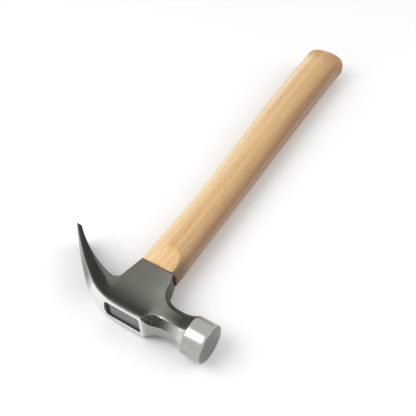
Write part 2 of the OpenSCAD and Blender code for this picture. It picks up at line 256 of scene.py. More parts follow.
def corner(start, end, control, n):
    """Points of a rounded edge after its start, on a curve drawn to the control point."""
    start, end, control = (np.array(p, float) for p in (start, end, control))
    return [(1 - t) ** 2 * start + 2 * t * (1 - t) * control + t * t * end for t in spread(n)[1:]]


def straight(start, end, n):
    return [mix(np.array(start, float), np.array(end, float), t) for t in spread(n)[1:]]


def section(outer, inner, half_w, crown):
    """Half a section that lies between a point of the outer rail and a point of the inner rail."""
    deep = float(np.linalg.norm(inner - outer))
    along = (inner - outer) / deep
    low = min(TOP_BEVEL, deep / 12)
    bevel = min(TOP_BEVEL, deep / 5)
    edge = half_w - hollow(deep, deep)
    flat = half_w - bevel
    profile = [np.array([-crown * (1 - t * t), flat * t]) for t in spread(STRETCH["top"])]
    profile += corner(profile[-1], [bevel, half_w - hollow(bevel, deep)], [0, half_w], STRETCH["edge"])
    for t in spread(STRETCH["side"])[1:]:
        d = mix(bevel, deep - low, t)
        profile.append(np.array([d, half_w - hollow(d, deep)]))
    profile += corner(profile[-1], [deep, edge - low], [deep, edge], STRETCH["low_edge"])
    profile += straight(profile[-1], [deep, 0], STRETCH["low"])
    return np.array([[outer[0] + along[0] * p[0], outer[1] + along[1] * p[0], p[1]] for p in profile])


def claw_section(s):
    return section(claw_outer(s), claw_inner(s), claw_half(s), crown_at(s))


def throat_section(t):
    s = mix(THROAT_S, THROAT_END_S, t)
    return section(claw_outer(s), throat_point(90 * (1 - t)), claw_half(s), crown_at(s))


def wall_section(t):
    s = mix(THROAT_END_S, SOCKET_END_S, t)
    inner = mix(throat_point(0), np.array([-SOCKET_HALF, SOCKET_DEPTH]), t)
    return section(claw_outer(s), inner, claw_half(s), crown_at(s))


def block_section(s):
    """A square section over the eye, under the start of the claw's bend."""
    outer = claw_outer(s)
    return section(outer, np.array([outer[0], SOCKET_DEPTH]), claw_half(s), crown_at(s))


def flat_section(x):
    return section(np.array([x, 0.0]), np.array([x, SOCKET_DEPTH]), BLOCK_W / 2, 0)


SWEEP_C = (WAIST_X, NECK_AXIS_D + NECK_FACET * LOW_RIDGE + NECK_SWEEP)


def neck_profile(top_d, flat_z, ridge, side, low, foot):
    """Half a section of the neck: top flat, ridge, cheek, lower facet and under side."""
    top_corner = np.array([top_d, flat_z])
    profile = [np.array([top_d, flat_z * t]) for t in spread(STRETCH["top"])]
    profile += straight(top_corner, ridge, STRETCH["edge"])
    profile += [np.array(side(t)) for t in spread(STRETCH["side"])[1:-1]] + [np.array(low, float)]
    profile += straight(low, foot, STRETCH["low_edge"])
    profile += straight(foot, [foot[0], 0], STRETCH["low"])
    return profile


def sweep_section(degrees):
    """A section between the eye block's end and the waist of the neck, round the sweep under it."""
    a = math.radians(degrees)
    x = SWEEP_C[0] - NECK_SWEEP * math.cos(a)
    low_d = SWEEP_C[1] - NECK_SWEEP * math.sin(a)
    run = (x - BLOCK_HALF) / (WAIST_X - BLOCK_HALF)
    opened = 1 - (1 - clamp01(run / RIDGE_DONE)) ** RIDGE_HASTE
    narrow = 1 - (1 - clamp01(run / FLAT_DONE)) ** FLAT_HASTE
    top_d = (NECK_AXIS_D - NECK_R) * ease(run / FALL_DONE)
    ridge_d = mix(TOP_BEVEL, NECK_AXIS_D - NECK_FACET, opened)
    ridge_z = mix(BLOCK_W / 2 - hollow(ridge_d, CHEEK_DEPTH), NECK_R, opened * run)
    flat_z = mix(BLOCK_W / 2 - TOP_BEVEL, NECK_FACET, narrow)
    low_z = mix(CHEEK_HALF_W, NECK_R, run)
    facet_h = mix(TOP_BEVEL, NECK_LOW_FACET, math.sin(a))
    foot_z = mix(CHEEK_HALF_W - TOP_BEVEL, NECK_FACET, math.sin(a))

    def side(t):
        d = mix(ridge_d, low_d, t)
        return [d, mix(BLOCK_W / 2 - hollow(d, CHEEK_DEPTH), mix(ridge_z, low_z, t), run)]

    low = [low_d, side(1)[1]]
    profile = neck_profile(top_d, flat_z, [ridge_d, ridge_z], side, low, [low_d + facet_h, foot_z])
    return np.array([[x, p[0], p[1]] for p in profile])


# Angles round the bell from its top, for the same points as a section has
RING_ANGLES = [22.5 * t for t in spread(STRETCH["top"])]
RING_ANGLES += [mix(22.5, 67.5, t) for t in spread(STRETCH["edge"])[1:]]
RING_ANGLES += [mix(67.5, 112.5, t) for t in spread(STRETCH["side"])[1:]]
RING_ANGLES += [mix(112.5, 157.5, t) for t in spread(STRETCH["low_edge"])[1:]]
RING_ANGLES += [mix(157.5, 180, t) for t in spread(STRETCH["low"])[1:]]


def bell_ring(x, r):
    turns = [math.radians(a) for a in RING_ANGLES]
    return np.array([[x, BELL_AXIS_D - r * math.cos(a), r * math.sin(a)] for a in turns])


def flare_section(x):
    t = clamp01((x - FLARE_START) / (BELL_BACK - FLARE_START)) ** FLARE_HASTE
    ring = mix(sweep_section(90), bell_ring(x, BELL_R - FLARE_INSET), t)
    ring[:, 0] = x
    return ring


def head_sections():
    """Half sections from the tips of the claw to the rim of the striking face, and the zone after each."""
    rows = [("claw", claw_section(mix(CLAW_RUN, THROAT_S, t))) for t in spread(80)]
    rows += [("claw", throat_section(t)) for t in spread(14)[1:]]
    rows += [("claw", wall_section(t)) for t in spread(5)[1:]]
    rows += [("block", block_section(SOCKET_END_S * (1 - t))) for t in spread(10)[1:]]
    rows += [("block", flat_section(mix(BEND_START, SOCKET_HALF, t))) for t in spread(16)[1:]]
    rows += [("neck", sweep_section(90 * t)) for t in spread(36)]
    rows += [("neck", flare_section(mix(FLARE_START, BELL_BACK - 0.02, t))) for t in spread(30)]
    b, f = BELL_BACK_BEVEL, FACE_BEVEL
    rows += [("bell", bell_ring(BELL_BACK + x, r)) for x, r in ((0, BELL_R - b), (b * 0.3, BELL_R - b * 0.3))]
    rows += [("bell", bell_ring(mix(BELL_BACK + b, FACE_REACH - f, t), BELL_R)) for t in spread(10)]
    rim = ((f * 0.35, BELL_R - f * 0.3), (0, BELL_R - f))
    rows += [("face", bell_ring(FACE_REACH - x, r)) for x, r in rim]
    return rows


# ---------------------------------------------------------------- meshes
def mesh_object(name, points, faces):
    mesh = bpy.data.meshes.new(name)
    mesh.from_pydata([tuple(p) for p in points], [], faces)
    mesh.validate()
    obj = bpy.data.objects.new(name, mesh)
    bpy.context.scene.collection.objects.link(obj)
    return obj


def ring(half):
    back = half[-2:0:-1].copy()
    back[:, 2] *= -1
    return np.vstack([half, back])


def fan(centre, first, n, flip):
    """A cap of triangles from a centre point to a ring."""
    return [(centre, first + (i + 1) % n, first + i)[:: -1 if flip else 1] for i in range(n)]


def tidy_normals(obj):
    bm = bmesh.new()
    bm.from_mesh(obj.data)
    bmesh.ops.recalc_face_normals(bm, faces=bm.faces)
    bm.to_mesh(obj.data)
    bm.free()
    return obj


def loft(name, rings, tags=None, cap_tag=0):
    """A closed skin over rings of equally many points. tags gives each face's material, ring by ring."""
    n, last = len(rings[0]), len(rings) - 1
    points = np.vstack(rings + [rings[0].mean(0), rings[-1].mean(0)])
    faces = []
    for k in range(last):
        for i in range(n):
            a, b = k * n + i, k * n + (i + 1) % n
            faces.append((a, b, b + n, a + n))
    sides = len(faces)
    faces += fan(len(points) - 2, 0, n, False)
    faces += fan(len(points) - 1, last * n, n, True)
    obj = mesh_object(name, place(points), faces)
    if tags:
        for _ in range(max(max(row) for row in tags) + 1 + cap_tag):
            obj.data.materials.append(None)
        for k, polygon in enumerate(obj.data.polygons):
            polygon.material_index = tags[k // n][k % n] if k < sides else cap_tag
    return tidy_normals(obj)


def prism(name, low, high):
    """A solid between two outlines of equally many points."""
    n = len(low)
    faces = [tuple(range(n)), tuple(range(2 * n - 1, n - 1, -1))]
    faces += [(i, (i + 1) % n, n + (i + 1) % n, n + i) for i in range(n)]
    return tidy_normals(mesh_object(name, place(list(low) + list(high)), faces))


def cut(obj, tools, tag=0):
    """Applies boolean cuts and deletes the cutters. The cut faces take the material numbered tag."""
    for tool in tools:
        while len(tool.data.materials) <= tag:
            tool.data.materials.append(None)
        for polygon in tool.data.polygons:
            polygon.material_index = tag
        step = obj.modifiers.new("cut", "BOOLEAN")
        step.operation = "DIFFERENCE"
        step.solver = "EXACT"
        step.object = tool
    bpy.context.view_layer.update()
    made = obj.evaluated_get(bpy.context.evaluated_depsgraph_get())
    mesh = bpy.data.meshes.new_from_object(made)
    obj.modifiers.clear()
    old = obj.data
    obj.data = mesh
    mesh.name = obj.name
    bpy.data.meshes.remove(old)
    for tool in tools:
        bpy.data.objects.remove(tool)
    return obj


def crisp(obj, degrees=28):
    obj.data.shade_smooth()
    obj.data.set_sharp_from_angle(angle=math.radians(degrees))


# ---------------------------------------------------------------- eye and nail slot
EYE_WAIST_D = 0.36 * SOCKET_DEPTH
EYE_SIZES = [
    (0.0, EYE_LEN, EYE_W),
    (EYE_WAIST_D, EYE_LEN - EYE_WAIST - 1, EYE_W - EYE_WAIST),
    (SOCKET_DEPTH, SOCKET_LEN - 2 * SOCKET_WALL, SOCKET_W - 2 * SOCKET_WALL),
]
EYE_CORNER = 0.9
EYE_LIP = 0.45


def rounded_oblong(d, length, width, radius):
    points = []
    for sx, sz, start in ((1, 1, 0), (-1, 1, 90), (-1, -1, 180), (1, -1, 270)):
        for t in spread(4):
            a = math.radians(start + 90 * t)
            x = sx * (length / 2 - radius) + radius * math.cos(a)
            z = sz * (width / 2 - radius) + radius * math.sin(a)
            points.append([x, d, z])
    return np.array(points)


def eye_size(d):
    """Length and width of the eye at a depth."""
    for (d0, l0, w0), (d1, l1, w1) in zip(EYE_SIZES, EYE_SIZES[1:]):
        if d <= d1:
            t = (d - d0) / (d1 - d0)
            return mix(l0, l1, t), mix(w0, w1, t)
    t = (d - d0) / (d1 - d0)
    return mix(l0, l1, t), mix(w0, w1, t)


def eye_cutter():
    rows = []
    for d, grow in ((-1.0, EYE_LIP + 1), (0.0, EYE_LIP), (EYE_LIP, 0)):
        length, width = eye_size(max(0.0, d))
        rows.append(rounded_oblong(d, length + 2 * grow, width + 2 * grow, EYE_CORNER + grow))
    for d in (4.0, 8.0, EYE_WAIST_D, 24.0, 33.0, SOCKET_DEPTH + 1):
        length, width = eye_size(d)
        rows.append(rounded_oblong(d, length, width, EYE_CORNER))
    return loft("eye_cutter", rows)


def on_blade(s, points):
    """Points given along the blade, across the claw and out of its outer face."""
    a, o = heading(s), claw_outer(s)
    out = []
    for u, v, w in points:
        out.append([o[0] - math.cos(a) * u - math.sin(a) * w, o[1] + math.sin(a) * u - math.cos(a) * w, v])
    return out


def slot_outline(extra):
    far = SLOT_LEN + SLOT_PAST
    wide = mix(SLOT_ROOT_W, SLOT_TIP_W, far / SLOT_LEN) / 2 + extra
    near = SLOT_ROOT_W / 2 + extra
    return [(0, -near), (-0.4 * near, 0), (0, near), (far, wide), (far, -wide)]


def slot_cutter():
    mid = CLAW_RUN - SLOT_LEN / 2
    low, high = -ROOT_THICK - 8, 8
    rows = [[(u - SLOT_LEN / 2, v, w) for u, v in slot_outline(0)] for w in (low, high)]
    return prism("slot_cutter", on_blade(mid, rows[0]), on_blade(mid, rows[1]))


def bevel_cutter():
    start = claw_inner(CLAW_RUN - SLOT_LEN)
    along = claw_inner(CLAW_RUN) - start
    a = math.atan2(along[1], -along[0])
    rows = []
    for w, extra in ((-SLOT_BEVEL, 0), (1.0, SLOT_BEVEL + 1)):
        rows.append([
            [start[0] - math.cos(a) * u + math.sin(a) * w, start[1] + math.sin(a) * u + math.cos(a) * w, v]
            for u, v in slot_outline(extra)
        ])
    return prism("bevel_cutter", rows[0], rows[1])


def tip_cutters():
    """A level cut across the tips, and their rounded outer corners."""
    tip = claw_outer(CLAW_RUN)
    wide = BLOCK_W
    low = [[tip[0] - 20, tip[1], -wide], [tip[0] + 20, tip[1], -wide], [tip[0] + 20, tip[1] + 20, -wide],
           [tip[0] - 20, tip[1] + 20, -wide]]
    tools = [prism("tip_cutter", low, [[x, d, wide] for x, d, _ in low])]
    for side in (1, -1):
        outline = [(2 * TIP_ROUND, 2 * TIP_ROUND), (-TIP_ROUND, 2 * TIP_ROUND)]
        for t in spread(10):
            a = math.pi / 2 * (1 - t)
            outline.append((TIP_ROUND * (math.cos(a) - 1), TIP_ROUND * (math.sin(a) - 1)))
        outline.append((2 * TIP_ROUND, -TIP_ROUND))
        rows = []
        for w in (-ROOT_THICK, ROOT_THICK):
            rows.append(on_blade(CLAW_RUN, [(u, side * (TIP_HALF_W + v), w) for u, v in outline]))
        tools.append(prism("corner_cutter", rows[0], rows[1]))
    return tools


# ---------------------------------------------------------------- tones of the forged head, with painted light and shade
# The regions of the head, by the stretch of the section and the zone that a face lies in
REGIONS = [
    "outer", "edge", "side", "low",
    "neck_top", "neck_facet", "neck_side", "neck_low",
    "bell", "face", "cut",
]
CLAW_REGIONS = ("outer", "edge", "side", "low", "low")
NECK_REGIONS = ("neck_top", "neck_facet", "neck_side", "neck_low", "neck_low")
ZONE_REGIONS = {
    "claw": dict(zip(STRETCH, CLAW_REGIONS)),
    "block": dict(zip(STRETCH, CLAW_REGIONS)),
    "neck": dict(zip(STRETCH, NECK_REGIONS)),
}


def face_tags(zones):
    """The number of each face's region, ring by ring."""
    rows = []
    for zone in zones[:-1]:
        half = [REGIONS.index(ZONE_REGIONS.get(zone, {}).get(name, zone)) for name in STRETCH_NAMES]
        rows.append(half + half[::-1])
    return rows


def rail_place(x, d):
    """How far along the claw's outer rail a point lies, and how deep under it."""
    first = (BEND_START, CLAW_BEND_R)
    a = math.atan2(first[0] - x, first[1] - d)
    if a < CLAW_BEND:
        return max(0.0, a) * CLAW_BEND_R, CLAW_BEND_R - math.hypot(x - first[0], d - first[1])
    joint = bend_point(CLAW_BEND)
    centre = (joint[0] + BLADE_R * math.sin(CLAW_BEND), joint[1] + BLADE_R * math.cos(CLAW_BEND))
    a = math.atan2(centre[0] - x, centre[1] - d)
    return BEND_RUN + (a - CLAW_BEND) * BLADE_R, BLADE_R - math.hypot(x - centre[0], d - centre[1])


# sRGB levels by depth under the top, by x or by the place s along the claw's rail: the steel's satin and
# polished greys with painted shade, painted highlights and painted reflections worked into them
CHEEK_SHADE_DOWN = [
    (0.8, 92), (2, 70), (3.5, 57), (5, 57), (7, 68),
    (10, 80), (13, 89), (16, 98), (20, 106), (26, 111),
]
CHEEK_LIGHT_ALONG = [(-14, -0.05), (0, 0), (10, 0.09), (17, 0.24), (24, 0.3)]
BLADE_LIGHT_FROM = [(20, 0.5), (30, 0.6), (42, 0.68), (56, 0.8), (70, 0.9)]
BLADE_LIGHT = [(20, 110), (45, 108), (58, 82), (80, 66)]
BLADE_DARK = [(0.3, 84), (1.4, 66), (3, 52)]
BLADE_BLEND = 0.22
OUTER_REFLECTION_ALONG = [(0, 232), (24, 238), (30, 172), (35, 112), (42, 94), (48, 112), (55, 146), (70, 142), (81, 92)]
OUTER_HIGHLIGHT_ACROSS = [(-9, 55), (0, 40), (5, 0)]
EDGE_HIGHLIGHT_ALONG = [(0, 128), (22, 132), (30, 168), (45, 150), (60, 158), (80, 110)]
# Painted reflections on the neck's top flat, facet, side and under side, changing along the neck
NECK_TOP = [(15.7, 205), (17, 182), (19.5, 157), (24, 160), (35, 170), (41, 180), (44, 196), (46, 204)]
NECK_FACET_TONE = [(15.7, 120), (17, 72), (20, 58), (27, 62), (30, 86), (33, 126), (37, 160), (43, 202)]
NECK_SIDE = [(16, 120), (22, 134), (27, 120), (31, 102), (35, 78), (40, 58), (44, 62), (46, 78)]
NECK_LOW = [(15.7, 74), (30, 66), (40, 64), (46, 80)]
RIDGE_RISE = [(15.7, 2.4), (26, 1.0)]
RIDGE_HIGHLIGHT = [(0, 0.85), (0.8, 0.35), (3, 0)]


def cheek_tone(x, d):
    """The satin cheek's grey, with painted shade under the top edge, then painted light down the cheek and
    towards the neck.
    """
    return level(CHEEK_SHADE_DOWN, d) * (1 + level(CHEEK_LIGHT_ALONG, x) * fade(d, 5, 12))


def blade_side_tone(s, deep):
    """Painted shade and reflection on the satin side: dark along the blade, lighter along its inner edge
    towards the throat.
    """
    share = deep / blade_thick(max(s, THROAT_S))
    start = level(BLADE_LIGHT_FROM, s)
    return mix(level(BLADE_DARK, deep), level(BLADE_LIGHT, s), fade(share, start, start + BLADE_BLEND))


def side_tone(x, d, z):
    return mix(cheek_tone(x, d), blade_side_tone(*rail_place(x, d)), fade(-x, 11, 22))


def outer_tone(x, d, z):
    """Painted reflection on the polished top: bright over the eye and the root of the claw, grey along the
    blade and lighter on its far half.
    """
    s, _ = rail_place(x, d)
    return level(OUTER_REFLECTION_ALONG, s) + level(OUTER_HIGHLIGHT_ACROSS, z) * fade(s, 22, 30) * fade(-s, -50, -40)


# Painted highlight along the rounded top edges, by the place along the claw's rail
def edge_tone(x, d, z):
    return level(EDGE_HIGHLIGHT_ALONG, rail_place(x, d)[0])


def neck_side_tone(x, d, z):
    """Runs on from the cheek, with a painted highlight line under the neck's ridge."""
    ridge = NECK_AXIS_D - NECK_FACET * level(RIDGE_RISE, x)
    # light: the painted highlight under the ridge
    light = 1 + level(RIDGE_HIGHLIGHT, d - ridge) * fade(x, 17, 24)
    return mix(cheek_tone(x, d), level(NECK_SIDE, x), fade(x, 15, 20)) * light


def along(stops):
    """A tone that changes along the head only."""
    return lambda x, d, z: level(stops, x)


def even(tone):
    return lambda x, d, z: tone


TONES = {
    "outer": outer_tone,
    "edge": edge_tone,
    "side": side_tone,
    "low": even(96.0),
    "neck_top": along(NECK_TOP),
    "neck_facet": along(NECK_FACET_TONE),
    "neck_side": neck_side_tone,
    "neck_low": along(NECK_LOW),
    "bell": even(170.0),
    "face": even(120.0),
    "cut": even(74.0),
}
POLISH = {
    "outer": 1.0, "edge": 0.8, "neck_top": 0.8, "neck_facet": 0.7,
    "neck_side": 0.45, "bell": 1.0, "face": 0.6,
}
STEEL_TINT = np.array([1.0, 0.994, 0.95])
DARK_TINT, LIGHT_TINT = 1.4, 0.5


def paint(obj, colour_at, gloss_at):
    """Writes each corner's colour and each face's polish, from the region in its material number."""
    mesh = obj.data
    points = (np.array([v.co for v in mesh.vertices]) - np.array(ORIGIN)) / MM
    colours = np.ones((len(mesh.loops), 4), np.float32)
    gloss = np.zeros(len(mesh.polygons), np.float32)
    for polygon in mesh.polygons:
        gloss[polygon.index] = gloss_at(polygon.material_index)
        for loop in polygon.loop_indices:
            colour = colour_at(polygon.material_index, *points[mesh.loops[loop].vertex_index])
            colours[loop, :3] = [to_linear(level) for level in colour]
    # The tone attribute carries the painted light and shade along with the colours
    mesh.attributes.new("tone", "FLOAT_COLOR", "CORNER").data.foreach_set("color", colours.ravel())
    mesh.attributes.new("polish", "FLOAT", "FACE").data.foreach_set("value", gloss)


def steel_colour(region, x, d, z):
    name = REGIONS[region]
    grey = TONES[name](x, d, z if name == "outer" else abs(z)) / 255
    return grey * STEEL_TINT ** (DARK_TINT if grey < 0.6 else LIGHT_TINT)


def keep_materials(obj, numbers):
    """Sorts the faces into the obj's materials: numbers gives the material of a region."""
    for polygon in obj.data.polygons:
        polygon.material_index = numbers.get(polygon.material_index, 0)


def build_head():
    zones, halves = zip(*head_sections())
    head = loft("claw_head", [ring(half) for half in halves], face_tags(zones), REGIONS.index("face"))
    cut(head, [eye_cutter(), slot_cutter(), bevel_cutter()] + tip_cutters(), REGIONS.index("cut"))
    crisp(head)
    paint(head, steel_colour, lambda region: POLISH.get(REGIONS[region], 0.0))
    keep_materials(head, {REGIONS.index("bell"): 1, REGIONS.index("face"): 2})
    return head


# ---------------------------------------------------------------- handle
WAIST_D = SOCKET_DEPTH + WAIST_AT
SWELL_D = OVERALL_LEN - SWELL_AT
HANDLE_LEN = OVERALL_LEN - SOCKET_DEPTH
HANDLE_FRONT = HANDLE_HEAD[0] / 2 - HANDLE_SET_BACK
HANDLE_FACES = 96


def handle_size(d):
    """Depth and thickness of the handle at a distance from the top of the head."""
    if d < WAIST_D:
        t, ends = ease((d - SOCKET_DEPTH) / WAIST_AT), (HANDLE_HEAD, HANDLE_WAIST)
    else:
        t, ends = ease((d - WAIST_D) / (SWELL_D - WAIST_D)), (HANDLE_WAIST, HANDLE_SWELL)
    return [mix(a, b, t) for a, b in zip(*ends)]


def oval(d, inset):
    deep, wide = handle_size(d)
    flare = BUTT_FLARE * ease((d - OVERALL_LEN + BUTT_ROUND + BUTT_FLARE_LEN) / BUTT_FLARE_LEN)
    deep += flare
    middle = HANDLE_FRONT - BUTT_LEAN * (d - SOCKET_DEPTH) / HANDLE_LEN + flare - deep / 2
    points = []
    for i in range(HANDLE_FACES):
        t = 2 * math.pi * i / HANDLE_FACES
        c, s = math.cos(t), math.sin(t)
        x = math.copysign(abs(c) ** (2 / HANDLE_SQUARE), c)
        z = math.copysign(abs(s) ** (2 / HANDLE_SQUARE), s)
        points.append([middle + (deep / 2 - inset) * x, d, (wide / 2 - inset) * z])
    return np.array(points)


def handle_rings():
    rows = [oval(SOCKET_DEPTH + d, inset) for d, inset in ((0, 0.8), (0.2, 0.45), (0.5, 0.25), (1.5, 0))]
    rows += [oval(mix(SOCKET_DEPTH + 4, OVERALL_LEN - BUTT_ROUND, t), 0) for t in spread(110)]
    for a in range(9, 91, 9):
        a = math.radians(a)
        rows.append(oval(OVERALL_LEN - BUTT_ROUND * (1 - math.sin(a)), BUTT_ROUND * (1 - math.cos(a))))
    return rows


def flat_cutter(side):
    """Cutter of the flat planed beside the socket, which runs out in a curve."""
    start = SOCKET_DEPTH - 1
    end = SOCKET_DEPTH + PLANED_LEN
    outline = [(start, 12.0), (start, 0.0)]
    for t in spread(24):
        a = t * 0.5
        outline.append((end + PLANED_RUNOUT_R * math.sin(a), PLANED_RUNOUT_R * (1 - math.cos(a))))
    outline.append((end + PLANED_RUNOUT_R * math.sin(0.5), 12.0))
    rows = [[[x, d, side * (CHEEK_HALF_W + h)] for d, h in outline] for x in (-30, 30)]
    return prism("flat_cutter", rows[0], rows[1])


# Tones round the handle by degrees, from the side under the striking face to the side under the claw: the
# wood's colour with painted shade, darkest on the side under the striking face, and painted light towards the
# side under the claw
WOOD_ROUND_AND_SHADE = [
    (0, "#98806a"), (11, "#9f8265"), (22, "#966f4a"), (34, "#98744b"), (45, "#ab885b"),
    (56, "#bf9a6e"), (68, "#c6a376"), (79, "#cfac7d"), (90, "#d9b586"), (101, "#e3c293"),
    (112, "#ebcfa4"), (124, "#f2d9b2"), (135, "#f4dcb8"), (146, "#efdcb5"), (180, "#e3c79a"),
]
# The tones round the butt end, with the same painted shade and light
WOOD_BUTT_AND_SHADE = [
    (0, "#8d673c"), (30, "#a97d51"), (60, "#bd9167"), (90, "#c49b6e"), (120, "#ce9f6a"), (180, "#dfbb8f"),
]
# Tones of the planed flat, across the handle
WOOD_FLAT = [(-13, "#f0d5a8"), (-8, "#ebc79a"), (-2, "#e7b573"), (5, "#e3b06d"), (11, "#dfb884")]
# The brown shade beside the socket, on the side under the striking face
WOOD_SHADE = np.array([0.42, 0.33, 0.21])
SHADE_STRENGTH = 0.8


def pick(stops, at):
    """A colour between named stops."""
    rgb = np.array([srgb(colour) for _, colour in stops])
    return np.array([np.interp(at, [stop for stop, _ in stops], rgb[:, k]) for k in range(3)])


def wood_colour(region, x, d, z):
    if region:
        return pick(WOOD_FLAT, x)
    deep, wide = handle_size(max(d, SOCKET_DEPTH))
    middle = HANDLE_FRONT - BUTT_LEAN * (d - SOCKET_DEPTH) / HANDLE_LEN - deep / 2
    c, s = (x - middle) / deep * 2, z / wide * 2
    c, s = (math.copysign(abs(v) ** (HANDLE_SQUARE / 2), v) for v in (c, s))
    turn = math.degrees(math.atan2(abs(s), c))
    butt = fade(d, OVERALL_LEN - 22, OVERALL_LEN - 5)
    # The wood's tones by the turn round the handle carry painted shade and light
    colour = mix(pick(WOOD_ROUND_AND_SHADE, turn), pick(WOOD_BUTT_AND_SHADE, turn), butt)
    shade = (1 - fade(d, SOCKET_DEPTH + 5, SOCKET_DEPTH + 20)) * (1 - fade(turn, 30, 62))
    return mix(colour, WOOD_SHADE, SHADE_STRENGTH * shade)


def build_handle():
    rings = handle_rings()
    handle = loft("hardwood_handle", rings, [[0] * HANDLE_FACES for _ in rings])
    handle.data.materials.append(None)
    cut(handle, [flat_cutter(1), flat_cutter(-1)], 1)
    crisp(handle, 24)
    paint(handle, wood_colour, lambda region: 0.0)
    keep_materials(handle, {})
    return handle


# ---------------------------------------------------------------- materials
def linear(hex_colour):
    """A written sRGB colour as the linear one that shaders take."""
    return [to_linear(part) for part in srgb(hex_colour)] + [1.0]


class Nodes:
    """A material's node tree, with short calls for the nodes that are used here."""

    def __init__(self, name):
        self.material = bpy.data.materials.new(name)
        self.material.use_nodes = True
        self.tree = self.material.node_tree
        self.tree.nodes.clear()
        self.out = self.add("ShaderNodeOutputMaterial")
        self.shader = self.add("ShaderNodeBsdfPrincipled")
        self.link(self.shader.outputs[0], self.out.inputs["Surface"])

    def add(self, kind, **values):
        node = self.tree.nodes.new(kind)
        for key, value in values.items():
            setattr(node, key, value)
        return node

    def link(self, a, b):
        self.tree.links.new(a, b)

    def put(self, socket, value):
        if isinstance(value, bpy.types.NodeSocket):
            self.link(value, socket)
        else:
            socket.default_value = value

    def place(self, scale=(1, 1, 1), rotation=(0, 0, 0), location=(0, 0, 0)):
        """Object coordinates, scaled, turned and moved."""
        if not hasattr(self, "coords"):
            self.coords = self.add("ShaderNodeTexCoord")
        mapping = self.add("ShaderNodeMapping")
        self.link(self.coords.outputs["Object"], mapping.inputs["Vector"])
        mapping.inputs["Scale"].default_value = scale
        mapping.inputs["Rotation"].default_value = rotation
        mapping.inputs["Location"].default_value = location
        return mapping.outputs[0]

    def noise(self, vector, scale, detail=4.0, rough=0.5, distortion=0.0):
        node = self.add("ShaderNodeTexNoise")
        self.link(vector, node.inputs["Vector"])
        node.inputs["Scale"].default_value = scale
        node.inputs["Detail"].default_value = detail
        node.inputs["Roughness"].default_value = rough
        node.inputs["Distortion"].default_value = distortion
        return node.outputs["Fac"]

    def ramp(self, value, stops):
        node = self.add("ShaderNodeValToRGB")
        while len(node.color_ramp.elements) < len(stops):
            node.color_ramp.elements.new(0.5)
        for element, (at, colour) in zip(node.color_ramp.elements, stops):
            element.position = at
            element.color = linear(colour) if isinstance(colour, str) else [colour] * 3 + [1.0]
        self.link(value, node.inputs["Fac"])
        return node.outputs["Color"]

    def math(self, operation, a, b=0.0, clamp=False):
        node = self.add("ShaderNodeMath", operation=operation, use_clamp=clamp)
        self.put(node.inputs[0], a)
        self.put(node.inputs[1], b)
        return node.outputs[0]

    def blend(self, factor, a, b, kind="MIX"):
        node = self.add("ShaderNodeMix", data_type="RGBA", blend_type=kind)
        self.put(node.inputs["Factor"], factor)
        self.put(node.inputs["A"], linear(a) if isinstance(a, str) else a)
        self.put(node.inputs["B"], linear(b) if isinstance(b, str) else b)
        return node.outputs["Result"]

    def attribute(self, name, output):
        return self.add("ShaderNodeAttribute", attribute_name=name).outputs[output]

    def grey(self, value):
        """A value as a grey colour."""
        node = self.add("ShaderNodeCombineColor")
        for socket in node.inputs[:3]:
            self.link(value, socket)
        return node.outputs[0]

    def bump(self, height, strength, distance):
        node = self.add("ShaderNodeBump")
        self.link(height, node.inputs["Height"])
        node.inputs["Strength"].default_value = strength
        node.inputs["Distance"].default_value = distance
        self.link(node.outputs[0], self.shader.inputs["Normal"])

    def set(self, **values):
        for key, value in values.items():
            self.put(self.shader.inputs[key.replace("_", " ")], value)


# Painted reflection bands: sRGB levels by degrees round the bell, 0 at the top and 90 on the broad side that
# faces up
BELL_REFLECTION_BANDS = [
    (-180, 96), (-130, 98), (-95, 104), (-78, 150), (-64, 238), (-40, 245), (-18, 227), (-11, 205),
    (-4, 182), (6, 176), (17, 184), (25, 189), (32, 172), (38, 119), (44, 188), (51, 250), (67, 250),
    (73, 168), (80, 117), (87, 84), (94, 102), (106, 112), (115, 90), (124, 99), (148, 96), (180, 94),
]
# The share of that painted reflection along the bell, in metres from its back edge, and the painted
# reflection's tones down the face in millimetres
BELL_REFLECTION_ALONG = [(0, 255), (0.001, 246), (0.010, 240), (0.0135, 228), (0.015, 212)]
FACE_REFLECTION_TONES = [(-12.5, 160), (-9, 134), (-6, 112), (-3, 92), (4, 88), (9, 100), (12.5, 132)]
FACE_HALF = 13
FACE_LEAN = -90.0
WAVE_DEGREES = 3.0
# How much of a tone the metal's grain, clouds and brushing may take, above the darkest share
GRAIN_SHARE, CLOUD_SHARE, BRUSH_SHARE, DARKEST = 0.16, 0.26, 0.16, 0.71
SATIN_ROUGH, POLISH_GAIN = 0.36, 0.18


def grey_ramp(n, value, stops, low, high):
    """A ramp whose stops are written in the value's own unit and in sRGB levels."""
    share = n.add("ShaderNodeMapRange")
    n.link(value, share.inputs["Value"])
    share.inputs["From Min"].default_value = low
    share.inputs["From Max"].default_value = high
    levels = [((at - low) / (high - low), to_linear(level / 255)) for at, level in stops]
    return n.ramp(share.outputs[0], levels)


def from_point(n, middle):
    """Object coordinates from a point of the head, in the frame's metres."""
    split = n.add("ShaderNodeSeparateXYZ")
    n.link(n.place(location=[-v for v in place(middle)]), split.inputs[0])
    return split.outputs


